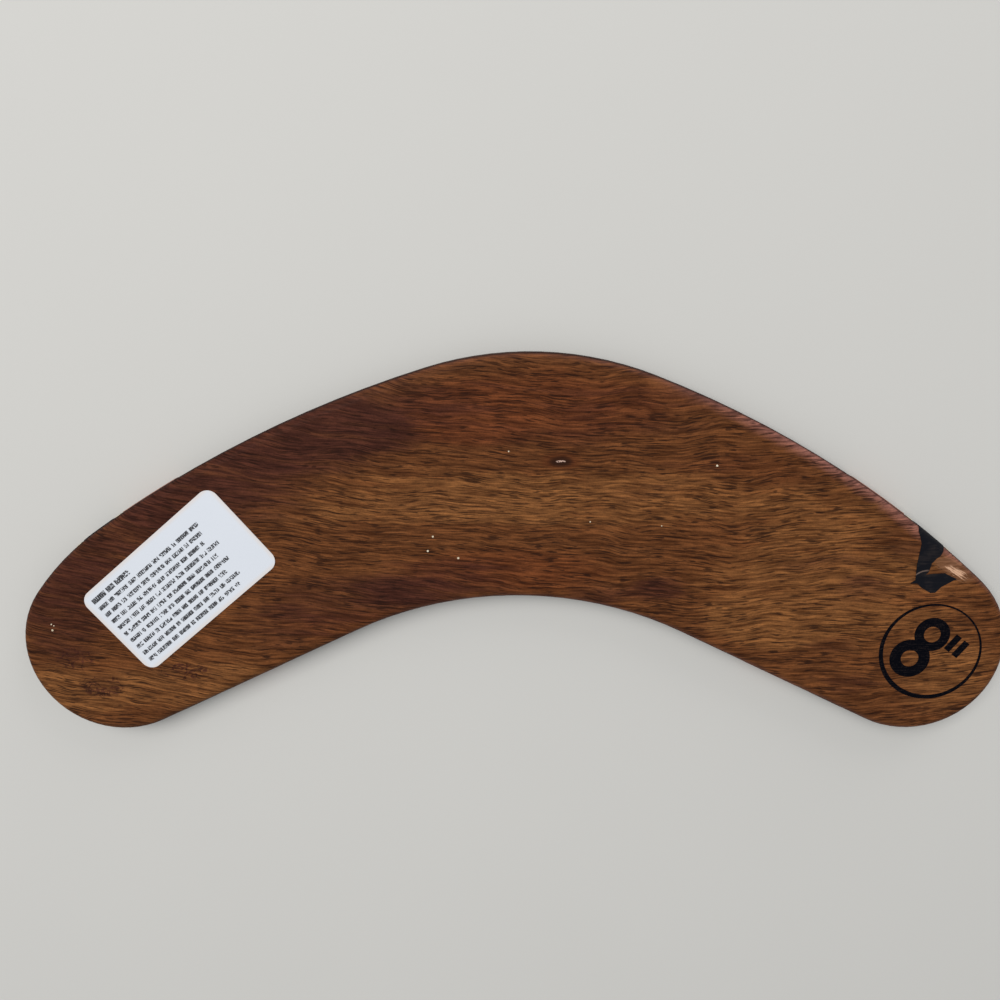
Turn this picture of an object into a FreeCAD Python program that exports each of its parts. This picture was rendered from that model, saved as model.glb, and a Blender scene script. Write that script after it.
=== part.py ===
import FreeCAD, Part
import math
import os
from dataclasses import dataclass

from FreeCAD import Vector

# A small wooden boomerang, cut from one solid board. It lies on its crowned front,
# with the flat back face up, the elbow towards +Y and the two tips towards -X and +X.
# The origin is under the middle of the outline. All sizes are in millimetres, angles in degrees.

# Board
SPAN = 203.2
RISE = 78.9
THICKNESS = 6.0
RIM_RADIUS = 2.0
CROWN_WIDTH = 9.0
CROWN_RISE = 2.2
CROWN_STEPS = 12
RIM_STEPS = 10

# Elbow and crotch
ELBOW_RADIUS = 68.7
ELBOW_SHIFT = 3.6
ELBOW_WIDTH = 49.3
CROTCH_RADIUS = 76.3
CROTCH_SHIFT = 1.2

# Wings, each a tip, a shoulder and a long flank that blend into the elbow
LEFT_TIP_RADIUS = 19.1
LEFT_SHOULDER_RADIUS = 58.2
LEFT_SHOULDER_ANGLE = 37.2
LEFT_FLANK_RADIUS = 246.8
RIGHT_TIP_RADIUS = 18.6
RIGHT_SHOULDER_RADIUS = 53.3
RIGHT_SHOULDER_ANGLE = 44.7
RIGHT_FLANK_RADIUS = 214.4

# Painted bands across the front, placed along each wing from the middle of its tip
PAINT_THICKNESS = 0.1
BLACK_BAND_PLACE = 9.5
BLACK_BAND_WIDTH = 7.6
CREAM_LINE_WIDTH = 1.2
BAND_GAP = 0.8
OCHRE_BAND_WIDTH = 13.0

# Paper label on the back of the left wing
LABEL_LENGTH = 37.2
LABEL_WIDTH = 20.7
LABEL_CORNER_RADIUS = 2.4
LABEL_ALONG = 19.9
LABEL_ACROSS = 6.5
LABEL_SKEW = 14.3
ADHESIVE_THICKNESS = 0.05
ADHESIVE_INSET = 0.3
PAPER_THICKNESS = 0.1
PRINT_THICKNESS = 0.03
LABEL_MARGIN = 1.7
HEADING_HEIGHT = 1.1
HEADING_LENGTH = 11.4
HEADING_FIRST_WORD = 2
TEXT_LINES = 9
TEXT_HEIGHT = 0.85
TEXT_RIGHT_BLANK = 3.8
WORD_GAP = 0.5
WORD_LENGTHS = (2.4, 1.2, 3.6, 2.0, 3.9, 1.6, 2.9, 0.9, 3.2, 2.2, 1.4)

# Inked size stamp on the back of the right tip
INK_THICKNESS = 0.04
STAMP_ALONG = -3.1
STAMP_ACROSS = 0.5
STAMP_SKEW = -11.8
RING_OUTER_RADIUS = 10.4
RING_INNER_RADIUS = 9.75
RING_INNER_SHIFT = 0.3
NUMERAL_SIDE = -2.3
LOWER_BOWL_RADIUS = 4.1
LOWER_BOWL_PLACE = -3.6
LOWER_EYE_RADIUS = 1.8
UPPER_BOWL_RADIUS = 3.6
UPPER_BOWL_PLACE = 3.0
UPPER_EYE_RADIUS = 1.7
INCH_MARK_WIDTH = 1.4
INCH_MARK_LENGTH = 3.8
INCH_MARK_PLACE = 4.2
INCH_MARK_SIDE = 2.3
INCH_MARK_PITCH = 2.15

# Black paint that ran over the edge onto the back, as (along, across) points of the right wing
STREAK_POINTS = ((12.9, 25.5), (5.7, 25.5), (6.0, 20.0), (6.1, 18.8), (6.8, 16.8), (6.4, 14.9),
                 (7.2, 12.4), (7.8, 12.2), (9.3, 15.2), (10.8, 19.3), (12.6, 21.3))
BLOT_POINTS = ((8.4, 11.3), (7.0, 13.9), (5.4, 15.0), (3.2, 16.2), (1.6, 16.6), (0.6, 16.2), (1.4, 15.0),
               (2.5, 13.3), (2.9, 11.8), (3.7, 11.3), (6.1, 11.5), (7.2, 11.9))

# Chip knocked out of the right wing's rim, beside the black paint
CHIP_ALONG = 2.2
CHIP_ACROSS = 17.7
CHIP_LENGTH = 8.6
CHIP_WIDTH = 3.2
CHIP_DEPTH = 0.6

# Flecks of pale paint on the back, as (x, y) from the middle of the outline and a radius
SPECKS = ((-15.3, 3.2, 0.2), (-16.4, 0.2, 0.2), (-10.3, -1.3, 0.22), (0.0, 20.4, 0.14),
          (16.1, 6.1, 0.13), (30.3, 5.2, 0.13), (40.7, 17.3, 0.2))
SPECK_THICKNESS = 0.08

# Flecks on the left tip, as (along, across) of the left wing and a radius
TIP_SPECKS = ((-9.4, 8.7, 0.22), (-8.9, 9.9, 0.14), (-8.6, 9.4, 0.12))

# Largest shares of the room that a corner of the label and the crotch may take
CORNER_SHARE = 0.45
CROTCH_SHARE = 0.95

# Reach of a cutting block, beyond the board on every side
REACH = 60.0

BOARD_BOTTOM = PAINT_THICKNESS
BOARD_TOP = BOARD_BOTTOM + THICKNESS
RIM_LINE = BOARD_TOP - RIM_RADIUS


@dataclass(frozen=True)
class Wing:
    """Sizes of one wing; side is 1 for the right wing and -1 for the left one."""
    side: int
    tip_radius: float
    shoulder_radius: float
    shoulder_angle: float
    flank_radius: float


@dataclass(frozen=True)
class Bend:
    """One arc of the outline; a hollow one curves into the board."""
    centre: Vector
    radius: float
    start: float
    end: float
    hollow: bool = False

    def point(self, angle, inset):
        """Point of the arc at an angle, with the outline drawn in by inset."""
        reach = self.radius + inset if self.hollow else self.radius - inset
        return self.centre + polar(angle) * reach

    def edge(self, inset):
        """The arc as an edge, with the outline drawn in by inset."""
        middle = (self.start + self.end) / 2
        return Part.Arc(self.point(self.start, inset),
                        self.point(middle, inset),
                        self.point(self.end, inset)).toShape()


@dataclass(frozen=True)
class Section:
    """One level of the board's edge profile, with its outward normal."""
    inset: float
    height: float
    out: float
    up: float


LEFT_WING = Wing(-1, LEFT_TIP_RADIUS, LEFT_SHOULDER_RADIUS, LEFT_SHOULDER_ANGLE, LEFT_FLANK_RADIUS)
RIGHT_WING = Wing(1, RIGHT_TIP_RADIUS, RIGHT_SHOULDER_RADIUS, RIGHT_SHOULDER_ANGLE,
                  RIGHT_FLANK_RADIUS)


def polar(angle):
    """Unit vector at an angle from +X."""
    turn = math.radians(angle)
    return Vector(math.cos(turn), math.sin(turn), 0)


def bearing(vector):
    """Angle of a vector from +X."""
    return math.degrees(math.atan2(vector.y, vector.x))


def tip_centre(wing):
    """Centre of a wing's tip arc, with the wing laid towards +X."""
    return Vector(SPAN / 2 - wing.tip_radius, wing.tip_radius - RISE / 2, 0)


def crotch_radius():
    """Radius of the crotch, as large as the room between the tips allows."""
    crotch_top = RISE / 2 - ELBOW_WIDTH
    rooms = []
    for wing in (LEFT_WING, RIGHT_WING):
        tip = tip_centre(wing)
        across = tip.x - wing.side * CROTCH_SHIFT
        drop = crotch_top - tip.y
        spare = across ** 2 + drop ** 2 - wing.tip_radius ** 2
        rooms.append(CROTCH_SHARE * spare / (2 * (wing.tip_radius + drop)))
    return min(CROTCH_RADIUS, *rooms)


def crotch_centre(side):
    """Centre of the crotch arc, with the wing of that side laid towards +X."""
    return Vector(side * CROTCH_SHIFT, RISE / 2 - ELBOW_WIDTH - crotch_radius(), 0)


def inner_angle(wing):
    """Angle on the tip arc where the straight inner edge begins."""
    to_crotch = crotch_centre(wing.side) - tip_centre(wing)
    opening = (wing.tip_radius + crotch_radius()) / to_crotch.Length
    return bearing(to_crotch) + math.degrees(math.acos(opening))


def flank_centre(wing):
    """Centre of the flank arc that touches both the elbow and the shoulder arcs."""
    elbow = Vector(wing.side * ELBOW_SHIFT, RISE / 2 - ELBOW_RADIUS, 0)
    shoulder = shoulder_centre(wing)
    between = shoulder - elbow
    from_elbow = wing.flank_radius - ELBOW_RADIUS
    from_shoulder = wing.flank_radius - wing.shoulder_radius
    along = (between.Length ** 2 + from_elbow ** 2 - from_shoulder ** 2) / (2 * between.Length)
    aside = math.sqrt(from_elbow ** 2 - along ** 2)
    ahead = between / between.Length
    left = Vector(-ahead.y, ahead.x, 0)
    return elbow + ahead * along - left * aside


def shoulder_centre(wing):
    """Centre of the shoulder arc, which runs on from the tip arc."""
    step = wing.shoulder_radius - wing.tip_radius
    return tip_centre(wing) - polar(wing.shoulder_angle) * step


def elbow_angle(wing):
    """Angle on the elbow arc where the flank begins."""
    elbow = Vector(wing.side * ELBOW_SHIFT, RISE / 2 - ELBOW_RADIUS, 0)
    return bearing(elbow - flank_centre(wing))


def mirrored(bend):
    """The bend on the other side of the Y axis, run the other way."""
    centre = Vector(-bend.centre.x, bend.centre.y, 0)
    return Bend(centre, bend.radius, 180 - bend.end, 180 - bend.start, bend.hollow)


def wing_bends(wing):
    """Flank, shoulder and tip arcs of a wing laid towards +X, from the elbow to the tip."""
    flank = flank_centre(wing)
    shoulder = shoulder_centre(wing)
    flank_end = bearing(shoulder - flank)
    return [
        Bend(flank, wing.flank_radius, elbow_angle(wing), flank_end),
        Bend(shoulder, wing.shoulder_radius, flank_end, wing.shoulder_angle),
        Bend(tip_centre(wing), wing.tip_radius, wing.shoulder_angle, inner_angle(wing)),
    ]


def outline_bends():
    """All arcs of the outline, clockwise from the elbow."""
    elbow = Bend(Vector(ELBOW_SHIFT, RISE / 2 - ELBOW_RADIUS, 0), ELBOW_RADIUS,
                 180 - elbow_angle(LEFT_WING), elbow_angle(RIGHT_WING))
    crotch = Bend(crotch_centre(1), crotch_radius(), inner_angle(RIGHT_WING) + 180,
                  -inner_angle(LEFT_WING), hollow=True)
    left = [mirrored(bend) for bend in reversed(wing_bends(LEFT_WING))]
    return [elbow] + wing_bends(RIGHT_WING) + [crotch] + left


def outline(inset, height):
    """Closed outline of the board, drawn in by inset, at a height."""
    bends = outline_bends()
    edges = []
    for bend, following in zip(bends, bends[1:] + bends[:1]):
        edges.append(bend.edge(inset))
        end = bend.point(bend.end, inset)
        start = following.point(following.start, inset)
        if bend.hollow or following.hollow:
            edges.append(Part.LineSegment(end, start).toShape())
    wire = Part.Wire(edges)
    wire.translate(Vector(0, 0, height))
    return wire


def crown_sections():
    """Levels of the front's crown, from the flat land out to the edge."""
    sections = []
    for step in range(CROWN_STEPS + 1):
        turn = math.radians(90 * step / CROWN_STEPS)
        length = math.hypot(CROWN_RISE * math.sin(turn), CROWN_WIDTH * math.cos(turn))
        sections.append(Section(CROWN_WIDTH * (1 - math.sin(turn)),
                                BOARD_BOTTOM + CROWN_RISE * (1 - math.cos(turn)),
                                CROWN_RISE * math.sin(turn) / length,
                                -CROWN_WIDTH * math.cos(turn) / length))
    return sections


def rim_sections():
    """Levels of the back's round-over, from the edge in to the back face."""
    sections = []
    for step in range(RIM_STEPS + 1):
        turn = math.radians(90 * step / RIM_STEPS)
        sections.append(Section(RIM_RADIUS * (1 - math.cos(turn)),
                                RIM_LINE + RIM_RADIUS * math.sin(turn),
                                math.cos(turn),
                                math.sin(turn)))
    return sections


def blank(growth=0.0):
    """The board before it was chipped, grown on every side by the thickness of a coat."""
    wires = []
    for section in crown_sections() + rim_sections():
        inset = section.inset - growth * section.out
        wires.append(outline(inset, section.height + growth * section.up))
    return Part.makeLoft(wires, True, True)


def wing_point(wing, along, across, height=0.0):
    """Point measured from the middle of a wing's tip, towards the elbow and the outer edge."""
    inward = polar(inner_angle(wing) - 90)
    outward = polar(inner_angle(wing) + 180)
    place = tip_centre(wing) + inward * along + outward * across
    return Vector(wing.side * place.x, place.y, height)


def arc_radius(chord, depth):
    """Radius of an arc from its chord and its depth."""
    return (chord ** 2 / 4 + depth ** 2) / (2 * depth)


def chip():
    """Shallow spoon-shaped piece that has come out of the rim."""
    long_radius = arc_radius(CHIP_LENGTH, CHIP_DEPTH)
    cross_radius = arc_radius(CHIP_WIDTH, CHIP_DEPTH)
    spoon = Part.makeTorus(long_radius - cross_radius, cross_radius,
                           Vector(0, 0, long_radius - CHIP_DEPTH), Vector(0, 1, 0))
    spoon.rotate(Vector(0, 0, 0), Vector(0, 0, 1), wing_turn(RIGHT_WING))
    spoon.translate(wing_point(RIGHT_WING, CHIP_ALONG, CHIP_ACROSS, BOARD_TOP))
    return spoon


def board():
    """The finished board, with its chip."""
    return blank().cut(chip())


def wing_turn(wing):
    """Angle of the line along a wing: rightwards on the left wing, leftwards on the right."""
    return bearing(wing_point(wing, 1, 0) - wing_point(wing, 0, 0))


def coat(base, zone):
    """The thin coat of paint on the board within a zone."""
    return blank(PAINT_THICKNESS).common(zone).cut(base)


def band_zone(wing, place, width):
    """Block across a wing that takes in the front, the crown and the edge up to the rim."""
    block = Part.makeBox(width, 2 * REACH, RIM_LINE + REACH, Vector(-width / 2, -REACH, -REACH))
    block.rotate(Vector(0, 0, 0), Vector(0, 0, 1), wing_turn(wing))
    block.translate(wing_point(wing, place, 0))
    return block


def black_band(base, wing):
    """Black band across the front of a wing."""
    return coat(base, band_zone(wing, BLACK_BAND_PLACE, BLACK_BAND_WIDTH))


def cream_lines(base, wing):
    """The two thin cream lines, one on each side of the black band."""
    step = BLACK_BAND_WIDTH / 2 + BAND_GAP + CREAM_LINE_WIDTH / 2
    lines = []
    for place in (BLACK_BAND_PLACE - step, BLACK_BAND_PLACE + step):
        lines.append(coat(base, band_zone(wing, place, CREAM_LINE_WIDTH)))
    return Part.makeCompound(lines)


def ochre_band(base, wing):
    """Ochre band on the elbow's side of the cream lines."""
    start = BLACK_BAND_PLACE + BLACK_BAND_WIDTH / 2 + 2 * BAND_GAP + CREAM_LINE_WIDTH
    return coat(base, band_zone(wing, start + OCHRE_BAND_WIDTH / 2, OCHRE_BAND_WIDTH))


def patch_zone(points):
    """Upright block with straight sides between points of the right wing."""
    corners = [wing_point(RIGHT_WING, *point, RIM_LINE) for point in points]
    face = Part.Face(Part.makePolygon(corners + corners[:1]))
    return face.extrude(Vector(0, 0, REACH))


def overrun_patch(base):
    """Black paint on the back, a streak from the edge and a blot beside it."""
    zone = patch_zone(STREAK_POINTS).fuse(patch_zone(BLOT_POINTS))
    return coat(base, zone.cut(chip()))


def label_slab(inset, thickness, level):
    """Slab of the label's outline, drawn in by inset, at a level above the back face."""
    length = LABEL_LENGTH - 2 * inset
    width = LABEL_WIDTH - 2 * inset
    slab = Part.makeBox(length, width, thickness, Vector(-length / 2, -width / 2, level))
    uprights = [edge for edge in slab.Edges if abs(edge.tangentAt(0).z) > 0.5]
    corner = min(LABEL_CORNER_RADIUS - inset, CORNER_SHARE * min(length, width))
    return slab.makeFillet(corner, uprights)


def on_label(shape):
    """The shape moved from the label's own middle to its place on the left wing."""
    shape.rotate(Vector(0, 0, 0), Vector(0, 0, 1), wing_turn(LEFT_WING) + LABEL_SKEW)
    shape.translate(wing_point(LEFT_WING, LABEL_ALONG, LABEL_ACROSS, BOARD_TOP))
    return shape


def label_adhesive():
    """Film of glue under the paper."""
    return on_label(label_slab(ADHESIVE_INSET, ADHESIVE_THICKNESS, 0))


def label_paper():
    """Paper of the label, with rounded corners."""
    return on_label(label_slab(0, PAPER_THICKNESS, ADHESIVE_THICKNESS))


def printed_line(first_word, middle, height, length):
    """Bars of one printed line, as long as fit in a length."""
    bars = []
    level = ADHESIVE_THICKNESS + PAPER_THICKNESS
    start = LABEL_MARGIN - LABEL_LENGTH / 2
    end = start + length
    word = first_word
    while start + WORD_LENGTHS[word % len(WORD_LENGTHS)] <= end:
        size = WORD_LENGTHS[word % len(WORD_LENGTHS)]
        bars.append(Part.makeBox(size, height, PRINT_THICKNESS,
                                 Vector(start, middle - height / 2, level)))
        start += size + WORD_GAP
        word += 1
    return bars, word


def label_heading_print():
    """Bold heading along the label's upper edge, as plain bars."""
    middle = LABEL_WIDTH / 2 - LABEL_MARGIN - HEADING_HEIGHT / 2
    bars, _ = printed_line(HEADING_FIRST_WORD, middle, HEADING_HEIGHT, HEADING_LENGTH)
    return on_label(Part.makeCompound(bars))


def label_text_print():
    """Ragged lines of small text under the heading, as plain bars."""
    top = LABEL_WIDTH / 2 - LABEL_MARGIN - HEADING_HEIGHT
    bottom = LABEL_MARGIN - LABEL_WIDTH / 2
    pitch = (top - bottom) / TEXT_LINES
    length = LABEL_LENGTH - 2 * LABEL_MARGIN - TEXT_RIGHT_BLANK
    bars = []
    word = 0
    for line in range(TEXT_LINES):
        middle = top - pitch * (line + 1) + TEXT_HEIGHT / 2
        more, word = printed_line(word, middle, TEXT_HEIGHT, length)
        bars += more
    return on_label(Part.makeCompound(bars))


def on_stamp(shape):
    """The shape moved from the stamp's own middle to its place on the right tip."""
    shape.rotate(Vector(0, 0, 0), Vector(0, 0, 1), wing_turn(RIGHT_WING) - 180 + STAMP_SKEW)
    shape.translate(wing_point(RIGHT_WING, STAMP_ALONG, STAMP_ACROSS, BOARD_TOP))
    return shape


def ink_disc(radius, side=0.0, place=0.0):
    """Disc of ink, placed to the right and upwards from the stamp's middle."""
    return Part.makeCylinder(radius, INK_THICKNESS, Vector(side, place, 0))


def stamp_ring():
    """Ring of the stamp, heavier at its foot."""
    ring = ink_disc(RING_OUTER_RADIUS).cut(ink_disc(RING_INNER_RADIUS, place=RING_INNER_SHIFT))
    return on_stamp(ring)


def stamp_numeral():
    """The size in inches, an 8 of two rings."""
    bowls = ink_disc(LOWER_BOWL_RADIUS, NUMERAL_SIDE, LOWER_BOWL_PLACE)
    bowls = bowls.fuse(ink_disc(UPPER_BOWL_RADIUS, NUMERAL_SIDE, UPPER_BOWL_PLACE))
    eyes = ink_disc(LOWER_EYE_RADIUS, NUMERAL_SIDE, LOWER_BOWL_PLACE)
    eyes = eyes.fuse(ink_disc(UPPER_EYE_RADIUS, NUMERAL_SIDE, UPPER_BOWL_PLACE))
    return on_stamp(bowls.cut(eyes).removeSplitter())


def stamp_inch_marks():
    """The two strokes that stand for inches."""
    strokes = []
    for side in (INCH_MARK_SIDE, INCH_MARK_SIDE + INCH_MARK_PITCH):
        corner = Vector(side - INCH_MARK_WIDTH / 2, INCH_MARK_PLACE - INCH_MARK_LENGTH / 2, 0)
        strokes.append(Part.makeBox(INCH_MARK_WIDTH, INCH_MARK_LENGTH, INK_THICKNESS, corner))
    return on_stamp(Part.makeCompound(strokes))


def paint_specks():
    """Small flecks of pale paint on the back face."""
    places = [(Vector(x, y, BOARD_TOP), radius) for x, y, radius in SPECKS]
    for along, across, radius in TIP_SPECKS:
        places.append((wing_point(LEFT_WING, along, across, BOARD_TOP), radius))
    return Part.makeCompound([Part.makeCylinder(radius, SPECK_THICKNESS, middle)
                              for middle, radius in places])


def nodes():
    """Every sub-part by name."""
    base = board()
    made = {
        "timber_board": base,
        "black_overrun_patch": overrun_patch(base),
        "label_adhesive": label_adhesive(),
        "label_paper": label_paper(),
        "label_heading_print": label_heading_print(),
        "label_text_print": label_text_print(),
        "stamp_ring": stamp_ring(),
        "stamp_numeral": stamp_numeral(),
        "stamp_inch_marks": stamp_inch_marks(),
        "paint_specks": paint_specks(),
    }
    for name, wing in (("left", LEFT_WING), ("right", RIGHT_WING)):
        made["black_band_" + name] = black_band(base, wing)
        made["cream_lines_" + name] = cream_lines(base, wing)
        made["ochre_band_" + name] = ochre_band(base, wing)
    return made


def main():
    """Write one file per sub-part."""
    os.makedirs("parts", exist_ok=True)
    for name, shape in nodes().items():
        shape.exportStep("parts/" + name + ".step")
        box = shape.BoundBox
        print(name, "valid", shape.isValid(), "solids", len(shape.Solids),
              "volume", round(shape.Volume, 3), "x", round(box.XMin, 2), round(box.XMax, 2),
              "y", round(box.YMin, 2), round(box.YMax, 2), "z", round(box.ZMin, 3), round(box.ZMax, 3))


if __name__ == "__main__":
    main()
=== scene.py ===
"""Looks of a small hardwood boomerang that lies on its painted front, back face up."""
import logging
import math
from dataclasses import dataclass, field
from enum import Enum
from typing import Any, Optional, Union

import bmesh
import bpy
from mathutils import Matrix, Vector


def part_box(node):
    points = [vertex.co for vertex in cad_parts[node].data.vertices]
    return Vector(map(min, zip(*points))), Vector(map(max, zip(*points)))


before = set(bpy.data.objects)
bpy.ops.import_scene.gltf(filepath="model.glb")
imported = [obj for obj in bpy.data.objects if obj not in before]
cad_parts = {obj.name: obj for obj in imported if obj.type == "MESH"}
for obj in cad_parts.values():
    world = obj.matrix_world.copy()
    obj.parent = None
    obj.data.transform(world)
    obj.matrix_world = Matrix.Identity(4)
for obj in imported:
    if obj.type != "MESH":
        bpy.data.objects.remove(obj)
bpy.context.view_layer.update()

MM = 0.001
BACK_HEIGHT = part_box("timber_board")[1].z / MM

Number = Union[int, float]
Colour = tuple[float, float, float]
Pair = tuple[float, float]
log = logging.getLogger("boomerang")


class Wood(Enum):
    """Named tones of the oiled board, as linear colours."""

    GOLD = (0.134, 0.0535, 0.0174)
    BROWN = (0.085, 0.0300, 0.0100)
    RED = (0.090, 0.0250, 0.0082)
    PLUM = (0.037, 0.0110, 0.0078)
    PORE = (0.0135, 0.0056, 0.0040)
    FRESH = (0.60, 0.36, 0.23)
    TORN = (0.24, 0.115, 0.060)
    # The next two are painted light: a pinkish sheen on the rim and the right flank, then a near-black
    # shade line round the edge.
    EDGE_SHEEN = (0.215, 0.092, 0.078)
    EDGE_SHADE = (0.020, 0.0085, 0.0075)
    GLINT = (0.50, 0.34, 0.27)


class Tint(Enum):
    """Colours that another colour is multiplied by."""

    BRIGHT_FIBRE = (1.85, 1.85, 1.75)
    DARK_FIBRE = (0.46, 0.41, 0.40)
    GRIT = (1.5, 1.45, 1.45)
    PAPER_FIBRE = (0.82, 0.82, 0.84)


class Socket:
    """One output of a shader node, on which sums are written as Python expressions."""

    def __init__(self, tree: "NodeTree", output: bpy.types.NodeSocket) -> None:
        """Wraps an output.

        Args:
            tree: The node tree that the output belongs to.
            output: The node's output socket.
        """
        self.tree = tree
        self.output = output

    def _math(self, operation: str, *values: Union["Socket", Number]) -> "Socket":
        """Adds a Math node.

        Args:
            operation: What the node does.
            values: What it does it with, in order.

        Returns:
            The node's result.
        """
        return self.tree.add("ShaderNodeMath", {"operation": operation}, dict(enumerate(values)))

    def __add__(self, other: Union["Socket", Number]) -> "Socket":
        """Sum of two values."""
        return self._math("ADD", self, other)

    def __radd__(self, other: Number) -> "Socket":
        """Sum with a plain number first."""
        return self._math("ADD", other, self)

    def __sub__(self, other: Union["Socket", Number]) -> "Socket":
        """Difference of two values."""
        return self._math("SUBTRACT", self, other)

    def __rsub__(self, other: Number) -> "Socket":
        """Difference with a plain number first."""
        return self._math("SUBTRACT", other, self)

    def __mul__(self, other: Union["Socket", Number]) -> "Socket":
        """Product of two values."""
        return self._math("MULTIPLY", self, other)

    def __truediv__(self, other: Union["Socket", Number]) -> "Socket":
        """Quotient of two values."""
        return self._math("DIVIDE", self, other)

    def __pow__(self, other: Union["Socket", Number]) -> "Socket":
        """Power of a value."""
        return self._math("POWER", self, other)

    def largest(self, other: Union["Socket", Number]) -> "Socket":
        """The larger of two values."""
        return self._math("MAXIMUM", self, other)

    def smallest(self, other: Union["Socket", Number]) -> "Socket":
        """The smaller of two values."""
        return self._math("MINIMUM", self, other)

    def size(self) -> "Socket":
        """The value without its sign."""
        return self._math("ABSOLUTE", self)

    def fraction(self) -> "Socket":
        """The part after the decimal point."""
        return self._math("FRACT", self)

    def swing(self, reach: Number) -> "Socket":
        """The value about its middle, so that a noise pushes both ways.

        Args:
            reach: The push at a value of 1 less the push at 0.

        Returns:
            The push, 0 where the value is one half.
        """
        return (self - 0.5) * reach

    def ramp(self, low: Number, high: Number) -> "Socket":
        """A smooth step from 0 at low to 1 at high; low may be the larger.

        Args:
            low: The value at which the step gives 0.
            high: The value at which the step gives 1.

        Returns:
            The stepped value.
        """
        if low < high:
            start, end, first, last = low, high, 0.0, 1.0
        else:
            start, end, first, last = high, low, 1.0, 0.0
        return self.tree.add("ShaderNodeMapRange", {"interpolation_type": "SMOOTHSTEP"},
                             {"Value": self, "From Min": start, "From Max": end,
                              "To Min": first, "To Max": last})


@dataclass(frozen=True)
class Places:
    """Object coordinates of a surface point in millimetres."""

    x: Socket
    y: Socket
    z: Socket

    def depth_ramp(self, low: Number, high: Number) -> Socket:
        """A smooth step by depth under the board's flat back.

        Args:
            low: The depth at which the step gives 0.
            high: The depth at which the step gives 1.

        Returns:
            The stepped value.
        """
        return self.z.ramp(BACK_HEIGHT - low, BACK_HEIGHT - high)

    def distance(self, centre: tuple[float, float]) -> Socket:
        """Distance from an upright axis.

        Args:
            centre: The place of the axis.

        Returns:
            The distance, whatever the height.
        """
        return ((self.x - centre[0]) ** 2.0 + (self.y - centre[1]) ** 2.0) ** 0.5


class NodeTree:
    """The nodes of one material, added by type, settings and inputs."""

    def __init__(self, name: str) -> None:
        """Starts an empty material with its output node.

        Args:
            name: The material's name.
        """
        self.material = bpy.data.materials.new(name)
        self.material.use_nodes = True
        self.nodes = self.material.node_tree.nodes
        self.links = self.material.node_tree.links
        self.nodes.clear()
        self.end = self.nodes.new("ShaderNodeOutputMaterial")

    def node(self, kind: str, settings: dict[str, Any], inputs: dict[Any, Any]) -> bpy.types.Node:
        """Adds a node.

        Args:
            kind: The node's type.
            settings: Properties of the node, set before its inputs.
            inputs: Values or sockets by input name or number.

        Returns:
            The new node.
        """
        node = self.nodes.new(kind)
        for key, value in settings.items():
            setattr(node, key, value)
        for key, value in inputs.items():
            if isinstance(value, Socket):
                self.links.new(value.output, node.inputs[key])
            else:
                node.inputs[key].default_value = value
        return node

    def add(self, kind: str, settings: dict[str, Any], inputs: dict[Any, Any],
            output: Union[int, str] = 0) -> Socket:
        """Adds a node and returns one of its outputs.

        Args:
            kind: The node's type.
            settings: Properties of the node, set before its inputs.
            inputs: Values or sockets by input name or number.
            output: The output's name or number.

        Returns:
            The wrapped output.
        """
        return Socket(self, self.node(kind, settings, inputs).outputs[output])

    def places(self) -> Places:
        """Object coordinates in millimetres, one socket per axis."""
        raw = self.add("ShaderNodeTexCoord", {}, {}, "Object")
        split = self.node("ShaderNodeSeparateXYZ", {}, {0: raw})
        x, y, z = (Socket(self, split.outputs[axis]) / MM for axis in "XYZ")
        return Places(x, y, z)

    def vector(self, x: Union[Socket, Number], y: Union[Socket, Number],
               z: Union[Socket, Number]) -> Socket:
        """Vector from three values.

        Args:
            x: The first value.
            y: The second value.
            z: The third value.

        Returns:
            The vector.
        """
        return self.add("ShaderNodeCombineXYZ", {}, {0: x, 1: y, 2: z})

    def noise(self, place: Socket, scale: Number, detail: Number = 2.0,
              roughness: Number = 0.5, distortion: Number = 0.0) -> Socket:
        """Smooth noise from 0 to 1.

        Args:
            place: The point at which the noise is read.
            scale: Waves for each unit of the place.
            detail: Number of finer octaves.
            roughness: Strength of the finer octaves.
            distortion: How far the noise bends its own pattern.

        Returns:
            The noise value.
        """
        return self.add("ShaderNodeTexNoise", {"noise_dimensions": "3D"},
                        {"Vector": place, "Scale": scale, "Detail": detail,
                         "Roughness": roughness, "Distortion": distortion})

    def speckle(self, at: Places, scale: Number, detail: Number = 2.0,
                roughness: Number = 0.5) -> Socket:
        """Noise that is as wide as it is long.

        Args:
            at: The point at which the noise is read.
            scale: Waves for each millimetre.
            detail: Number of finer octaves.
            roughness: Strength of the finer octaves.

        Returns:
            The noise value.
        """
        return self.noise(self.vector(at.x, at.y, at.z), scale, detail, roughness)

    def mix(self, share: Union[Socket, Number], first: Union[Socket, Colour],
            second: Union[Socket, Colour], blend: str = "MIX") -> Socket:
        """Mix of two colours.

        Args:
            share: The share of the second colour.
            first: The colour at a share of 0.
            second: The colour at a share of 1.
            blend: How the two are combined.

        Returns:
            The mixed colour.
        """
        colours = [value if isinstance(value, Socket) else (*value, 1.0)
                   for value in (first, second)]
        return self.add("ShaderNodeMix", {"data_type": "RGBA", "blend_type": blend},
                        {0: share, 6: colours[0], 7: colours[1]}, 2)

    def bump(self, height: Socket, strength: Number, distance: Number) -> Socket:
        """Normal from a height.

        Args:
            height: The height, from 0 to 1.
            strength: How strongly the height shows.
            distance: The height in metres that 1 stands for.

        Returns:
            The new normal.
        """
        inputs = {"Height": height, "Strength": strength, "Distance": distance}
        return self.add("ShaderNodeBump", {}, inputs)

    def finish(self, inputs: dict[str, Any]) -> bpy.types.Material:
        """Ends the material with a Principled shader.

        Args:
            inputs: Values or sockets of the shader by name.

        Returns:
            The finished material.
        """
        shader = self.add("ShaderNodeBsdfPrincipled", {}, inputs)
        self.links.new(shader.output, self.end.inputs["Surface"])
        return self.material


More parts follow.
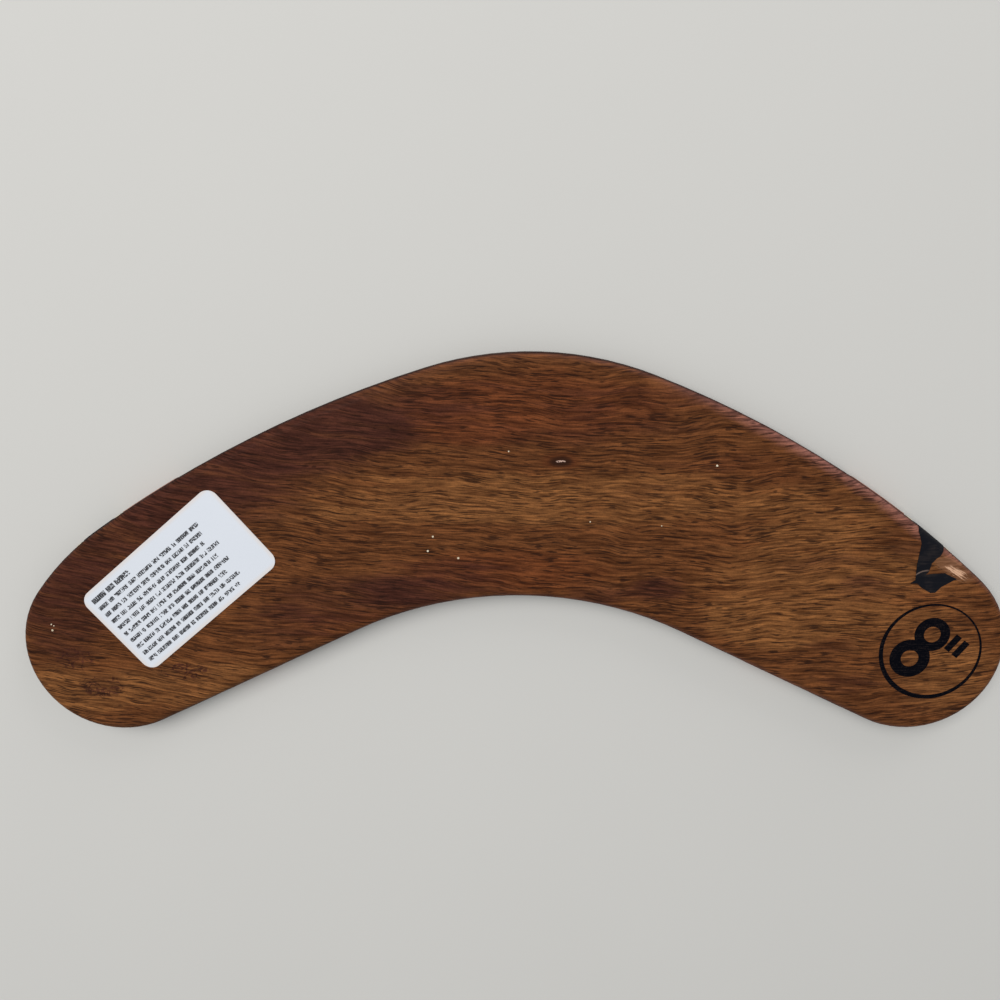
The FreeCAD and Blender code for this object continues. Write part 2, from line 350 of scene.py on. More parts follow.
def oval(x: Socket, y: Socket, half_length: Number, half_width: Number) -> Socket:
    """Squared distance from the middle of an oval.

    Args:
        x: Place along the oval, from its middle.
        y: Place across the oval, from its middle.
        half_length: Half the length of the oval.
        half_width: Half its width.

    Returns:
        A value of 1 on the oval's edge and less inside.
    """
    return (x / half_length) ** 2.0 + (y / half_width) ** 2.0


def turned_places(at: Places, centre: Pair, turn: float) -> tuple[Socket, Socket]:
    """Places along and across a turned shape, from its middle.

    Args:
        at: Places on the surface.
        centre: The shape's middle.
        turn: The turn of its long side from X, in radians.

    Returns:
        The distance along the shape and the distance across it.
    """
    x = at.x - centre[0]
    y = at.y - centre[1]
    along = x * math.cos(turn) + y * math.sin(turn)
    across = y * math.cos(turn) - x * math.sin(turn)
    return along, across


@dataclass(frozen=True)
class Cloud:
    """A soft oval patch of another tone on the board, in millimetres."""

    x: float
    y: float
    half_length: float
    half_width: float
    strength: float = 1.0

    def mask(self, x: Socket, y: Socket) -> Socket:
        """Strength of the patch at a point.

        Args:
            x: Place along the board, already made uneven.
            y: Place across the board, already made uneven.

        Returns:
            A value from 0 outside to the strength in the middle.
        """
        inside = oval(x - self.x, y - self.y, self.half_length, self.half_width)
        return inside.ramp(1.0, 0.0) * self.strength


def joined(clouds: tuple[Cloud, ...], x: Socket, y: Socket) -> Socket:
    """Joined strength of several patches.

    Args:
        clouds: The patches.
        x: Place along the board, already made uneven.
        y: Place across the board, already made uneven.

    Returns:
        The sum of the strengths, at most 1.
    """
    total = clouds[0].mask(x, y)
    for cloud in clouds[1:]:
        total = total + cloud.mask(x, y)
    return total.smallest(1.0)


@dataclass(frozen=True)
class Wave:
    """A noise that is stretched along the grain, by its sizes in millimetres."""

    length: float
    width: float
    depth: float
    detail: float = 2.0
    roughness: float = 0.5
    distortion: float = 0.0

    def read(self, tree: NodeTree, at: Places) -> Socket:
        """Noise at a point.

        Args:
            tree: The material's nodes.
            at: The point, along and across the grain.

        Returns:
            The noise value, from 0 to 1.
        """
        place = tree.vector(at.x / self.length, at.y / self.width, at.z / self.depth)
        return tree.noise(place, 1.0, self.detail, self.roughness, self.distortion)


@dataclass(frozen=True)
class PoreLayer:
    """One layer of pores: its shift in millimetres, its stretch and its share."""

    shift: float
    stretch: float
    share: float


@dataclass(frozen=True)
class Pores:
    """Dark dashes of the open pores, denser in some bands than in others."""

    length: float = 3.5
    width: float = 0.29
    crowd: Wave = Wave(9.0, 2.6, 2.6)
    crowding: float = 0.34
    edge: Pair = (0.65, 0.75)
    strength: float = 0.82
    layers: tuple[PoreLayer, ...] = (
        PoreLayer(0.0, 1.0, 1.0),
        PoreLayer(37.0, 1.5, 0.9),
        PoreLayer(91.0, 0.7, 0.85),
    )

    def mask(self, tree: NodeTree, grain: Places) -> Socket:
        """Strength of the pores at a point.

        Args:
            tree: The material's nodes.
            grain: The point, along and across the grain.

        Returns:
            A value from 0 beside the pores to the strength in them.
        """
        crowd = self.crowd.read(tree, grain).swing(self.crowding)
        masks = []
        for layer in self.layers:
            wave = Wave(self.length * layer.stretch, self.width, self.width, 0.0)
            place = Places(grain.x + layer.shift, grain.y + layer.shift, grain.z)
            dashes = wave.read(tree, place) + crowd
            masks.append(dashes.ramp(*self.edge) * layer.share)
        strongest = masks[0]
        for mask in masks[1:]:
            strongest = strongest.largest(mask)
        return strongest.smallest(1.0) * self.strength


@dataclass(frozen=True)
class PinKnot:
    """The small dark knot above the middle, with a pale glint in it."""

    centre: Pair = (10.2, 18.3)
    half_length: float = 3.0
    half_width: float = 1.3
    halo: Pair = (2.6, 0.6)
    halo_share: float = 0.6
    core: Pair = (1.0, 0.2)
    core_share: float = 0.8
    glint_half_length: float = 1.1
    glint_half_width: float = 0.28
    glint: Pair = (1.0, 0.4)
    break_scale: float = 2.3
    breaks: Pair = (0.42, 0.52)
    face: Pair = (0.4, 0.1)

    def add(self, tree: NodeTree, at: Places, colour: Socket) -> tuple[Socket, Socket]:
        """Adds the knot to the wood.

        Args:
            tree: The material's nodes.
            at: Places on the surface.
            colour: The wood's colour so far.

        Returns:
            The new colour, and the strength of the knot's core.
        """
        x = at.x - self.centre[0]
        y = at.y - self.centre[1]
        face = at.depth_ramp(*self.face)
        far = oval(x, y, self.half_length, self.half_width)
        core = far.ramp(*self.core) * face
        glint = oval(x, y, self.glint_half_length, self.glint_half_width).ramp(*self.glint)
        broken = tree.speckle(at, self.break_scale, 1.0).ramp(*self.breaks)
        colour = tree.mix(far.ramp(*self.halo) * face * self.halo_share, colour, Wood.RED.value)
        colour = tree.mix(core * self.core_share, colour, Wood.PORE.value)
        colour = tree.mix(glint * broken * face, colour, Wood.GLINT.value)
        return colour, core


@dataclass(frozen=True)
class FlankSheen:
    """Painted pinkish sheen just inside the right flank, which is an arc of the outline."""

    centre: Pair = (-49.53, -164.92)
    radius: float = 214.4
    width: Pair = (2.9, 0.2)
    unevenness: float = 3.0
    along: Pair = (24.0, 56.0)
    up: Pair = (-9.0, 3.0)
    share: float = 0.2
    mottled_share: float = 0.9

    def add(self, tree: NodeTree, at: Places, colour: Socket, mottle: Socket) -> Socket:
        """Adds the painted sheen to the wood.

        Args:
            tree: The material's nodes.
            at: Places on the surface.
            colour: The wood's colour so far.
            mottle: Noise that makes the painted sheen uneven.

        Returns:
            The new colour.
        """
        inside = self.radius - at.distance(self.centre)
        reach = at.x.ramp(*self.along) * at.y.ramp(*self.up)
        near = (inside + mottle.swing(self.unevenness)).ramp(*self.width) * reach
        # Painted sheen: a lighter pinkish tone along the right flank's edge.
        return tree.mix(near * (mottle * self.mottled_share + self.share), colour, Wood.EDGE_SHEEN.value)


@dataclass(frozen=True)
class RimSheenAndShade:
    """Painted sheen on the round-over and a thin painted shade line round the whole edge, by depth in
    millimetres.
    """

    # The first three fields and worn_share place and weight the painted sheen; line and line_share place
    # and weight the painted shade line.
    sheen_above: Pair = (0.05, 0.9)
    sheen_below: Pair = (2.0, 1.0)
    sheen_along: Pair = (-60.0, 20.0)
    worn_share: float = 0.45
    line: Pair = (0.75, 1.35)
    line_share: float = 0.8

    def add(self, tree: NodeTree, at: Places, colour: Socket, mottle: Socket) -> Socket:
        """Adds the painted sheen on the round-over and the painted shade line to the wood.

        Args:
            tree: The material's nodes.
            at: Places on the surface.
            colour: The wood's colour so far.
            mottle: Noise that makes the painted sheen uneven.

        Returns:
            The new colour.
        """
        # Painted sheen: a lighter pinkish band on the round-over, stronger towards the right.
        worn = at.depth_ramp(*self.sheen_above) * at.depth_ramp(*self.sheen_below)
        share = worn * mottle * self.worn_share * at.x.ramp(*self.sheen_along)
        colour = tree.mix(share, colour, Wood.EDGE_SHEEN.value)
        # Painted shade: a near-black line where the round-over turns down to the side wall.
        return tree.mix(at.depth_ramp(*self.line) * self.line_share, colour, Wood.EDGE_SHADE.value)


@dataclass(frozen=True)
class Chip:
    """Pale torn wood in the chip of the right tip, brightest at its outer end."""

    centre: Pair = (88.9, -4.0)
    turn: float = math.radians(-30.0)
    half_length: float = 5.0
    half_width: float = 1.9
    bright_centre: Pair = (1.2, -0.3)
    bright_half_length: float = 2.6
    bright_half_width: float = 0.8
    splinter_length: float = 2.2
    splinter_width: float = 0.24
    jagged: float = 4.2
    gritty: float = 1.0
    bare_jagged: float = 0.5
    face: Pair = (1.5, 1.0)
    bare: Pair = (1.1, 0.3)
    bare_share: float = 0.7
    grain: Pair = (0.56, 0.38)
    grain_share: float = 0.8
    bright: Pair = (0.9, 0.1)
    bright_share: float = 0.95

    def add(self, tree: NodeTree, at: Places, colour: Socket, fibres: Socket,
            grit: Socket) -> Socket:
        """Adds the torn wood.

        Args:
            tree: The material's nodes.
            at: Places on the surface.
            colour: The wood's colour so far.
            fibres: Noise of the wood's fibres.
            grit: Fine noise.

        Returns:
            The new colour.
        """
        along, aside = turned_places(at, self.centre, self.turn)
        place = tree.vector(along / self.splinter_length, aside / self.splinter_width, 0.0)
        torn = tree.noise(place, 1.0, 2.0, 0.6).swing(self.jagged) + grit.swing(self.gritty)
        face = at.depth_ramp(*self.face)
        inside = oval(along, aside, self.half_length, self.half_width) + torn * self.bare_jagged
        bare = inside.ramp(*self.bare) * face
        bright = oval(along - self.bright_centre[0], aside - self.bright_centre[1],
                      self.bright_half_length, self.bright_half_width) + torn
        dark_grain = fibres.ramp(*self.grain) * self.grain_share
        colour = tree.mix(bare * self.bare_share, colour, Wood.TORN.value)
        colour = tree.mix(bare * dark_grain, colour, Wood.BROWN.value)
        return tree.mix(bright.ramp(*self.bright) * face * self.bright_share, colour, Wood.FRESH.value)


@dataclass(frozen=True)
class Curls:
    """Curled dark lines in the wood of the left tip."""

    places: tuple[Cloud, ...] = (
        Cloud(-91.0, -22.5, 5.0, 3.0, 0.8),
        Cloud(-86.0, -28.5, 5.6, 3.4, 0.8),
        Cloud(-68.0, -26.0, 7.0, 2.6, 0.5),
    )
    lines: Wave = Wave(2.6, 1.7, 1.0, 1.5, 0.5, 1.4)
    line: Pair = (0.06, 0.015)
    reach: Pair = (0.05, 0.4)
    line_share: float = 0.8
    shade_share: float = 0.3
    most: float = 0.8
    push_along: float = 3.0
    push_across: float = 4.0

    def mask(self, tree: NodeTree, at: Places, wander: Socket, ripple: Socket) -> Socket:
        """Strength of the curls at a point.

        Args:
            tree: The material's nodes.
            at: Places on the surface.
            wander: Noise that pushes the curls across the board.
            ripple: Noise that pushes them along it.

        Returns:
            A value from 0 outside to the most in the lines.
        """
        shade = joined(self.places, at.x + ripple.swing(self.push_along),
                       at.y + wander.swing(self.push_across))
        lines = (self.lines.read(tree, at) - 0.5).size().ramp(*self.line) * shade.ramp(*self.reach)
        return (lines * self.line_share + shade * self.shade_share).smallest(self.most)


@dataclass(frozen=True)
class TimberFinish:
    """Oiled open-pored hardwood with its grain along X."""

    drift: float = 0.07
    bend: float = 0.0007
    bend_slow: float = 6.0
    bend_ripple: float = 1.3
    push_along: float = 16.0
    push_across: float = 5.0
    push_ripple: float = 2.4
    rim_depth: float = 1.2
    slow_scale: float = 0.035
    grit_scale: float = 3.2
    wander: Wave = Wave(25.0, 6.25, 6.25, 3.0)
    ripple: Wave = Wave(12.5, 5.0, 5.0)
    streaks: Wave = Wave(24.0, 1.3, 1.3, 4.0, 0.6)
    fibres: Wave = Wave(6.0, 0.42, 0.42, 2.0, 0.6)
    mottle: Wave = Wave(6.0, 2.4, 2.4, 3.0, 0.6)
    gold_edge: Pair = (0.0, 0.95)
    red_edge: Pair = (0.15, 1.0)
    plum_edge: Pair = (-0.05, 1.15)
    bright_fibre: Pair = (0.46, 0.72)
    dark_fibre: Pair = (0.52, 0.28)
    grit_edge: Pair = (0.3, 0.7)
    streak_push: float = 1.5
    gold_mottle: float = 1.3
    dark_mottle: float = 0.7
    red_mottle: float = 0.5
    red_share: float = 0.75
    plum_share: float = 0.9
    grit_share: float = 0.6
    plum_calm: float = 0.2
    rough: float = 0.5
    fibre_rough: float = 0.16
    pore_rough: float = 0.3
    slow_rough: float = 0.12
    fibre_height: float = 0.35
    pore_height: float = 0.65
    knot_height: float = 0.6
    shine: float = 0.04
    bump_strength: float = 0.35
    bump_height: float = 0.16 * MM
    pores: Pores = Pores()
    knot: PinKnot = PinKnot()
    flank_sheen: FlankSheen = FlankSheen()
    rim: RimSheenAndShade = RimSheenAndShade()
    chip: Chip = Chip()
    curls: Curls = Curls()
    dark: tuple[Cloud, ...] = (
        Cloud(-44, 24, 32, 10, 1.0),
        Cloud(-34, 24, 22, 6.0, 0.45),
        Cloud(-18, 29, 26, 8.0, 0.5),
        Cloud(-62, 14, 28, 12, 0.9),
        Cloud(-80, 2, 22, 14, 0.75),
        Cloud(-93, -12, 14, 16, 0.75),
        Cloud(-33, -10, 26, 7.0, 0.6),
        Cloud(-14, -6, 20, 6.5, 0.6),
        Cloud(-46, -16, 16, 6.0, 0.5),
        Cloud(31, -8, 9.0, 3.5, 0.9),
        Cloud(19, -9, 8.0, 3.0, 0.6),
        Cloud(8, 24, 16, 4.0, 0.3),
        Cloud(27, 12, 8.0, 2.2, 0.35),
        Cloud(40, 18, 15, 2.6, 0.4),
        Cloud(26, 29, 24, 6.5, 0.4),
        Cloud(64, -3, 14, 2.4, 0.5),
        Cloud(72, -8, 9.0, 3.6, 0.5),
        Cloud(66, -20, 8.0, 2.2, 0.5),
        Cloud(70, -29, 8.0, 2.8, 0.4),
        Cloud(80, 1, 8.0, 4.5, 0.45),
    )
    gold: tuple[Cloud, ...] = (
        Cloud(-14, 11, 34, 8.0, 0.65),
        Cloud(-42, 8, 18, 5.0, 0.2),
        Cloud(20, 11, 44, 8.0, 0.75),
        Cloud(66, -8, 34, 17, 0.85),
        Cloud(52, -16, 18, 7.0, 1.0),
        Cloud(60, 8, 22, 7.0, 0.5),
        Cloud(-60, -30, 26, 9.0, 0.75),
        Cloud(-90, -30, 18, 8.0, 0.95),
        Cloud(90, -26, 14, 12, 0.75),
    )
    red: tuple[Cloud, ...] = (
        Cloud(8, 29, 34, 10, 0.85),
        Cloud(-12, 27, 18, 9.0, 0.6),
        Cloud(0, -4, 32, 7.0, 0.8),
        Cloud(-30, -16, 28, 7.0, 0.55),
        Cloud(46, 16, 22, 7.0, 0.45),
        Cloud(84, -10, 12, 5.0, 0.5),
    )

    def build(self) -> bpy.types.Material:
        """Makes the material.

        Returns:
            The finished material.
        """
        tree = NodeTree("oiled_hardwood")
        place = tree.places()
        level = place.z.smallest(BACK_HEIGHT - self.rim_depth) + self.rim_depth
        at = Places(place.x, place.y, level)
        slow = tree.speckle(at, self.slow_scale)
        grit = tree.speckle(at, self.grit_scale, 2.0, 0.7)
        wander = self.wander.read(tree, at)
        ripple = self.ripple.read(tree, at)
        fall = at.x * self.drift - at.x * at.x * self.bend
        across = at.y + fall + slow.swing(self.bend_slow) + ripple.swing(self.bend_ripple)
        grain = Places(at.x, across, at.z)
        streaks = self.streaks.read(tree, grain)
        fibres = self.fibres.read(tree, grain)
        mottle = self.mottle.read(tree, grain)

        x = at.x + wander.swing(self.push_along)
        y = at.y + wander.swing(self.push_across) + ripple.swing(self.push_ripple)
        streak = streaks.swing(self.streak_push)
        gold = joined(self.gold, x, y) + streak + mottle.swing(self.gold_mottle)
        dark = joined(self.dark, x, y) + mottle.swing(self.dark_mottle) + streak
        red = joined(self.red, x, y) + mottle.swing(self.red_mottle)
        plum = dark.ramp(*self.plum_edge)
        colour = tree.mix(gold.ramp(*self.gold_edge), Wood.BROWN.value, Wood.GOLD.value)
        colour = tree.mix(red.ramp(*self.red_edge) * self.red_share, colour, Wood.RED.value)
        colour = tree.mix(plum * self.plum_share, colour, Wood.PLUM.value)
        colour = tree.mix(self.curls.mask(tree, at, wander, ripple), colour, Wood.PLUM.value)
        # Painted sheen along the right flank.
        colour = self.flank_sheen.add(tree, at, colour, mottle)

        calm = 1.0 - plum * self.plum_calm
        bright_fibre = fibres.ramp(*self.bright_fibre) * calm
        dark_fibre = fibres.ramp(*self.dark_fibre) * calm
        pores = self.pores.mask(tree, grain) * calm
        colour = tree.mix(bright_fibre, colour, Tint.BRIGHT_FIBRE.value, "MULTIPLY")
        colour = tree.mix(dark_fibre, colour, Tint.DARK_FIBRE.value, "MULTIPLY")
        pale_grit = grit.ramp(*self.grit_edge) * self.grit_share
        colour = tree.mix(pale_grit, colour, Tint.GRIT.value, "MULTIPLY")
        colour = tree.mix(pores, colour, Wood.PORE.value)
        colour, knot = self.knot.add(tree, place, colour)
        # Painted sheen on the round-over and a painted shade line round the edge.
        colour = self.rim.add(tree, place, colour, mottle)
        colour = self.chip.add(tree, place, colour, fibres, grit)

        rough = (self.rough + fibres.swing(self.fibre_rough) + pores * self.pore_rough
                 + slow.swing(self.slow_rough))
        height = (fibres * self.fibre_height + (1.0 - pores) * self.pore_height
                  - knot * self.knot_height)
        return tree.finish({"Base Color": colour, "Roughness": rough,
                            "Specular IOR Level": self.shine,
                            "Normal": tree.bump(height, self.bump_strength, self.bump_height)})


@dataclass(frozen=True)
class Scratch:
    """A thin curved scratch in paint on the board's back."""

    centre: Pair = (83.9, -8.2)
    radius: float = 3.9
    width: Pair = (0.2, 0.05)
    unevenness: float = 0.4
    first_end: Pair = (80.3, 81.0)
    last_end: Pair = (84.4, 83.2)
    above: Pair = (-7.2, -6.2)
    face: Pair = (1.1, 0.1)
    share: float = 0.85
    colour: Colour = (0.15, 0.105, 0.085)

    def add(self, tree: NodeTree, at: Places, colour: Socket, strokes: Socket) -> Socket:
        """Adds the scratch to the paint.

        Args:
            tree: The material's nodes.
            at: Places on the surface.
            colour: The paint's colour so far.
            strokes: Noise that makes the line uneven.

        Returns:
            The new colour.
        """
        off = at.distance(self.centre) - self.radius + strokes.swing(self.unevenness)
        ends = at.x.ramp(*self.first_end) * at.x.ramp(*self.last_end) * at.y.ramp(*self.above)
        line = off.size().ramp(*self.width) * ends * at.depth_ramp(*self.face)
        return tree.mix(line * self.share, colour, self.colour)


@dataclass(frozen=True)
class PaintFinish:
    """Brushed paint with faint strokes and thin places."""

    name: str
    colour: Colour
    thin: Colour
    roughness: float
    shine: float = 0.3
    scratch: Optional[Scratch] = None
    strokes: Wave = Wave(5.0, 0.5, 0.5, 3.0, 0.6)
    stroke_push: float = 1.8
    blotch_scale: float = 0.35
    blotch_push: float = 2.0
    thinness: float = 0.35
    thin_edge: Pair = (0.2, 0.9)
    stroke_rough: float = 0.2
    bump_strength: float = 0.3
    bump_height: float = 0.08 * MM

    def build(self) -> bpy.types.Material:
        """Makes the material.

        Returns:
            The finished material.
        """
        tree = NodeTree(self.name)
        at = tree.places()
        strokes = self.strokes.read(tree, at)
        blotches = tree.speckle(at, self.blotch_scale, 3.0)
        push = strokes.swing(self.stroke_push) + blotches.swing(self.blotch_push)
        colour = tree.mix((push + self.thinness).ramp(*self.thin_edge), self.colour, self.thin)
        if self.scratch is not None:
            colour = self.scratch.add(tree, at, colour, strokes)
        rough = self.roughness + strokes.swing(self.stroke_rough)
        return tree.finish({"Base Color": colour, "Roughness": rough,
                            "Specular IOR Level": self.shine,
                            "Normal": tree.bump(strokes, self.bump_strength, self.bump_height)})


@dataclass(frozen=True)
class PaperFinish:
    """Smooth white sticker paper, a little warmer and darker along its edge."""

    centre: Pair
    turn: float
    length: float
    width: float
    white: Colour = (0.63, 0.66, 0.71)
    bright: Colour = (0.70, 0.72, 0.745)
    warm: Colour = (0.66, 0.60, 0.56)
    fibre_scale: float = 2.2
    fibre_edge: Pair = (0.55, 0.8)
    fibre_share: float = 0.25
    cloud_scale: float = 0.09
    cloud_low: float = 0.2
    cloud_share: float = 0.35
    edge_width: Pair = (-1.1, -0.1)
    edge_share: float = 0.75
    rough: float = 0.38
    fibre_rough: float = 0.25
    shine: float = 0.4
    bump_strength: float = 0.25
    bump_height: float = 0.04 * MM

    def build(self) -> bpy.types.Material:
        """Makes the material.

        Returns:
            The finished material.
        """
        tree = NodeTree("sticker_paper")
        at = tree.places()
        along, up = turned_places(at, self.centre, self.turn)
        edge = (along.size() - self.length / 2).largest(up.size() - self.width / 2)
        fibre = tree.speckle(at, self.fibre_scale, 4.0, 0.65)
        cloud = tree.speckle(at, self.cloud_scale)
        colour = tree.mix((cloud - self.cloud_low) * self.cloud_share, self.white, self.bright)
        colour = tree.mix(edge.ramp(*self.edge_width) * self.edge_share, colour, self.warm)
        fibre_share = fibre.ramp(*self.fibre_edge) * self.fibre_share
        colour = tree.mix(fibre_share, colour, Tint.PAPER_FIBRE.value, "MULTIPLY")
        return tree.finish({"Base Color": colour,
                            "Roughness": self.rough + fibre.swing(self.fibre_rough),
                            "Specular IOR Level": self.shine,
                            "Normal": tree.bump(fibre, self.bump_strength, self.bump_height)})


@dataclass(frozen=True)
class PrintFinish:
    """Toner broken into upright marks, so that a bar reads as small generic type."""

    centre: Pair
    turn: float
    name: str
    pitch: float
    stroke: float
    stroke_edge: float = 0.05
    pitch_push: float = 0.7
    push_scale: float = 1.6
    push_height: float = 0.2
    loop_scale: float = 2.9
    loop_edge: Pair = (0.50, 0.56)
    gap_scale: float = 2.4
    gap_edge: Pair = (0.32, 0.38)
    gap_level: float = 9.0
    worn_scale: float = 6.0
    worn_edge: Pair = (0.4, 0.75)
    worn_share: float = 0.5
    rough: float = 0.55
    worn_rough: float = 0.2
    ink: Colour = (0.022, 0.022, 0.026)
    faded: Colour = (0.09, 0.09, 0.10)

    def build(self) -> bpy.types.Material:
        """Makes the material.

        Returns:
            The finished material.
        """
        tree = NodeTree(self.name)
        at = tree.places()
        along, up = turned_places(at, self.centre, self.turn)
        uneven = tree.noise(tree.vector(along, up * self.push_height, 0.0), self.push_scale, 1.0)
        phase = ((along + uneven.swing(self.pitch_push)) / self.pitch).fraction()
        stem = (phase - 0.5).size().ramp(self.stroke + self.stroke_edge, self.stroke - self.stroke_edge)
        loops = tree.noise(tree.vector(along, up, 0.0), self.loop_scale, 0.0)
        gaps = tree.noise(tree.vector(along, up, self.gap_level), self.gap_scale, 0.0)
        solid = stem.largest(loops.ramp(*self.loop_edge)) * gaps.ramp(*self.gap_edge)
        worn = tree.speckle(at, self.worn_scale)
        colour = tree.mix(worn.ramp(*self.worn_edge) * self.worn_share, self.ink, self.faded)
        return tree.finish({"Base Color": colour,
                            "Roughness": self.rough + worn.swing(self.worn_rough),
                            "Alpha": solid})


@dataclass(frozen=True)
class InkFinish:
    """Blue-black stamp ink, thinner along the grain."""

    ink: Colour = (0.0016, 0.0018, 0.0036)
    worn: Colour = (0.015, 0.011, 0.011)
    grain: Wave = Wave(2.4, 0.22, 1.0, 2.0, 0.6)
    spot_scale: float = 2.6
    grain_weight: float = 0.6
    spot_weight: float = 0.5
    worn_edge: Pair = (0.53, 0.72)
    worn_share: float = 0.8
    rough: float = 0.42
    grain_rough: float = 0.15
    shine: float = 0.02
    bump_strength: float = 0.25
    bump_height: float = 0.05 * MM

    def build(self) -> bpy.types.Material:
        """Makes the material.

        Returns:
            The finished material.
        """
        tree = NodeTree("stamp_ink")
        at = tree.places()
        grain = self.grain.read(tree, at)
        spots = tree.speckle(at, self.spot_scale, 3.0, 0.6)
        share = (grain * self.grain_weight + spots * self.spot_weight).ramp(*self.worn_edge)
        colour = tree.mix(share * self.worn_share, self.ink, self.worn)
        return tree.finish({"Base Color": colour,
                            "Roughness": self.rough + grain * self.grain_rough,
                            "Specular IOR Level": self.shine,
                            "Normal": tree.bump(grain, self.bump_strength, self.bump_height)})


@dataclass(frozen=True)
class AdhesiveFinish:
    """Glue at the label's edge, mottled from brown to near black."""

    lighter_glue: Colour = (0.22, 0.16, 0.11)
    darker_glue: Colour = (0.03, 0.02, 0.017)
    patch_scale: float = 0.8

    def build(self) -> bpy.types.Material:
        """Makes the material.

        Returns:
            The finished material.
        """
        tree = NodeTree("label_glue")
        at = tree.places()
        glue_patches = tree.speckle(at, self.patch_scale, 3.0)
        # Brown and near-black patches of the glue, spread by noise.
        colour = tree.mix(glue_patches.ramp(0.3, 0.6), self.lighter_glue, self.darker_glue)
        return tree.finish({"Base Color": colour, "Roughness": 0.5 + glue_patches.swing(0.3)})


@dataclass(frozen=True)
class FloorFinish:
    """Plain pale floor."""

    colour: Colour = (0.56, 0.55, 0.52)
    dull: Colour = (0.50, 0.49, 0.465)
    tone_scale: float = 0.02

    def build(self) -> bpy.types.Material:
        """Makes the material.

        Returns:
            The finished material.
        """
        tree = NodeTree("pale_floor")
        at = tree.places()
        tone = tree.speckle(at, self.tone_scale)
        colour = tree.mix(tone * 0.2, self.colour, self.dull)
        return tree.finish({"Base Color": colour, "Roughness": 0.8})


def dress(node: str, material: bpy.types.Material) -> None:
    """Gives a material to a carried-over node.

    Args:
        node: The node's name.
        material: The material for all its faces.
    """
    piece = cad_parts[node]
    if not piece.data.materials:
        piece.data.materials.append(material)
    for slot in piece.material_slots:
        slot.link = "OBJECT"
        slot.material = material
    log.info("dressed %s", node)


@dataclass
class Board:
    """The solid board."""

    finish: TimberFinish = field(default_factory=TimberFinish)

    def build(self) -> None:
        """Dresses the board."""
        dress("timber_board", self.finish.build())


@dataclass
class Paintwork:
    """Painted bands of the front, the paint that ran over and the flecks."""

    black: PaintFinish = PaintFinish("black_paint", (0.0062, 0.0066, 0.0094),
                                     (0.0185, 0.0155, 0.0160), 0.5, 0.05, Scratch())
    cream: PaintFinish = PaintFinish("cream_paint", (0.66, 0.58, 0.43), (0.45, 0.36, 0.24), 0.6)
    ochre: PaintFinish = PaintFinish("ochre_paint", (0.30, 0.105, 0.062), (0.20, 0.07, 0.04), 0.55)

    def build(self) -> None:
        """Dresses every painted node."""
        black = self.black.build()
        cream = self.cream.build()
        ochre = self.ochre.build()
        for side in ("left", "right"):
            dress("black_band_" + side, black)
            dress("cream_lines_" + side, cream)
            dress("ochre_band_" + side, ochre)
        dress("black_overrun_patch", black)
        dress("paint_specks", cream)


@dataclass
class Label:
    """The paper label with its generic print."""

    turn: float = math.radians(39.7)
    length: float = 37.2
    width: float = 20.7
    heading_pitch: float = 0.48
    heading_stroke: float = 0.37
    text_pitch: float = 0.42
    text_stroke: float = 0.24

    def centre(self) -> Pair:
        """Middle of the label in millimetres."""
        low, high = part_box("label_paper")
        middle = (low + high) / 2 / MM
        return middle.x, middle.y

    def build(self) -> None:
        """Dresses the glue, the paper and the print."""
        centre = self.centre()
        dress("label_adhesive", AdhesiveFinish().build())
        dress("label_paper", PaperFinish(centre, self.turn, self.length, self.width).build())
        heading = PrintFinish(centre, self.turn, "heading_print", self.heading_pitch, self.heading_stroke)
        dress("label_heading_print", heading.build())
        small = PrintFinish(centre, self.turn, "text_print", self.text_pitch, self.text_stroke)
        dress("label_text_print", small.build())


@dataclass
class Stamp:
    """The inked size stamp."""

    def build(self) -> None:
        """Dresses the ring, the numeral and the inch marks."""
        ink = InkFinish().build()
        for node in ("stamp_ring", "stamp_numeral", "stamp_inch_marks"):
            dress(node, ink)


@dataclass(frozen=True)
class Lamp:
    """A square lamp that points at the object, in metres and watts."""

    name: str
    place: tuple[float, float, float]
    size: float
    power: float

    def build(self) -> None:
        """Hangs the lamp."""
        light = bpy.data.lights.new(self.name, "AREA")
        light.size = self.size
        light.energy = self.power
        lamp = bpy.data.objects.new(self.name, light)
        place = Vector(self.place)
        lamp.matrix_world = Matrix.Translation(place) @ place.to_track_quat("Z", "Y").to_matrix().to_4x4()
        bpy.context.scene.collection.objects.link(lamp)


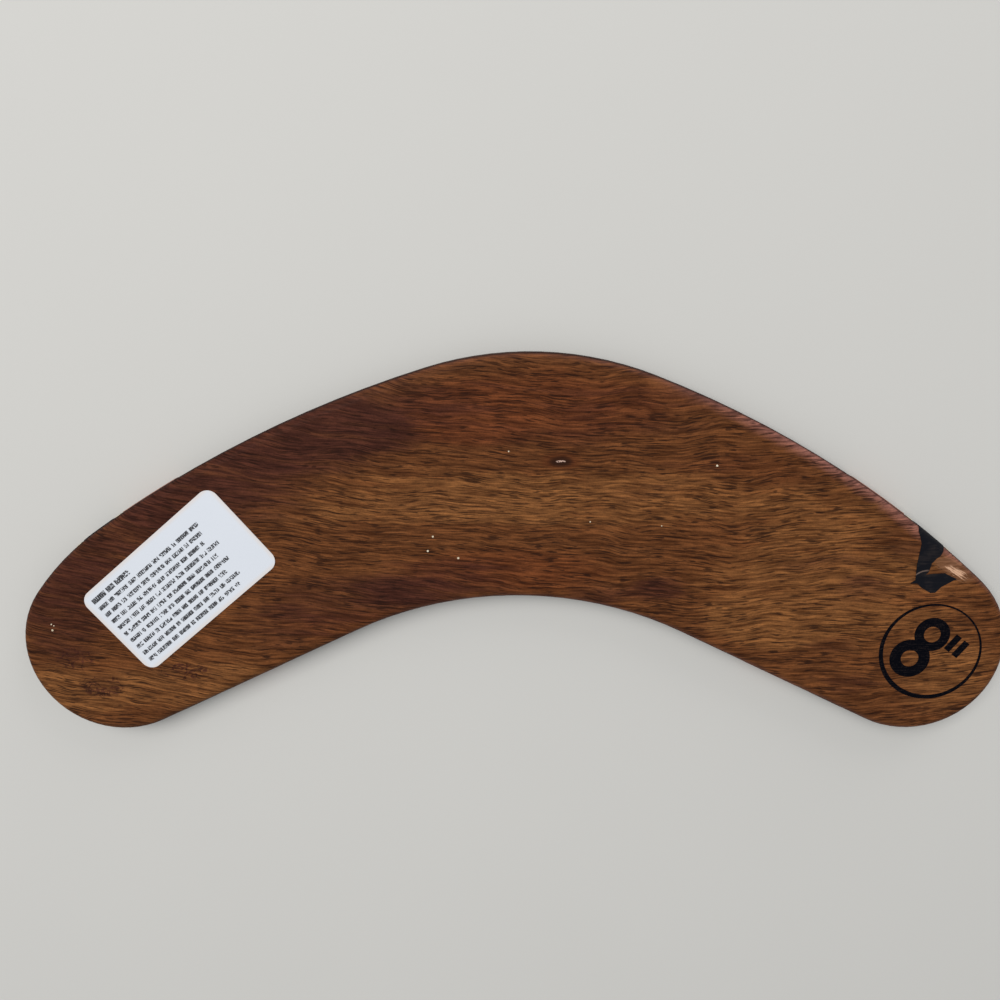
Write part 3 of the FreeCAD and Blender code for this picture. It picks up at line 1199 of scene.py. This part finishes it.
@dataclass
class Studio:
    """Floor, light and camera; the camera stands where the photograph's one stood."""

    floor_size: float = 3.0
    floor_drop: float = 0.05 * MM
    sky: tuple[float, float, float, float] = (0.95, 0.97, 1.0, 1.0)
    sky_strength: float = 0.42
    key: Lamp = Lamp("key", (-0.35, 0.45, 1.0), 0.8, 11.0)
    low: Lamp = Lamp("rim", (0.5, 0.9, 0.35), 0.5, 2.2)
    clip_start: float = 0.01
    frame_sensor: float = 36.0
    focal_share: float = 0.856165
    camera_place: Vector = field(default_factory=lambda: Vector((1.21, 49.19, 171.14)) * MM)
    tilt: float = math.radians(13.153)
    yaw: float = math.radians(0.9405)
    roll: float = math.radians(-0.32)

    def floor(self) -> None:
        """Makes the floor."""
        mesh = bpy.data.meshes.new("floor")
        shape = bmesh.new()
        below = Matrix.Translation((0.0, 0.0, -self.floor_drop))
        bmesh.ops.create_grid(shape, x_segments=1, y_segments=1, size=self.floor_size / 2, matrix=below)
        shape.to_mesh(mesh)
        shape.free()
        mesh.materials.append(FloorFinish().build())
        piece = bpy.data.objects.new("floor", mesh)
        bpy.context.scene.collection.objects.link(piece)

    def light(self) -> None:
        """Sets up soft light from above, with a low sheen over the elbow's rim."""
        world = bpy.data.worlds.new("studio")
        world.use_nodes = True
        background = world.node_tree.nodes["Background"]
        background.inputs["Color"].default_value = self.sky
        background.inputs["Strength"].default_value = self.sky_strength
        bpy.context.scene.world = world
        self.key.build()
        self.low.build()

    def camera(self) -> None:
        """Sets the camera at the photograph's viewing angle."""
        data = bpy.data.cameras.new("camera")
        data.sensor_fit = "HORIZONTAL"
        data.sensor_width = self.frame_sensor
        data.lens = self.focal_share * self.frame_sensor
        data.clip_start = self.clip_start
        camera = bpy.data.objects.new("camera", data)
        tilt_cos = math.cos(self.tilt)
        tilt_sin = math.sin(self.tilt)
        yaw_cos = math.cos(self.yaw)
        yaw_sin = math.sin(self.yaw)
        right = Vector((yaw_cos, -yaw_sin * tilt_sin, -yaw_sin * tilt_cos))
        up = Vector((0.0, tilt_cos, -tilt_sin))
        back = Vector((yaw_sin, yaw_cos * tilt_sin, yaw_cos * tilt_cos))
        turn = Matrix((right, up, back)).transposed()
        camera.matrix_world = (Matrix.Translation(self.camera_place)
                               @ Matrix.Rotation(self.roll, 4, "Z") @ turn.to_4x4())
        bpy.context.scene.collection.objects.link(camera)
        bpy.context.scene.camera = camera

    def build(self) -> None:
        """Builds the whole studio."""
        self.floor()
        self.light()
        self.camera()
        bpy.context.scene.view_settings.view_transform = "Standard"
        log.info("studio ready")


def main() -> None:
    """Builds the studio and dresses the boomerang."""
    logging.basicConfig(level=logging.INFO)
    Studio().build()
    Board().build()
    Paintwork().build()
    Label().build()
    Stamp().build()


if __name__ == "__main__":
    main()
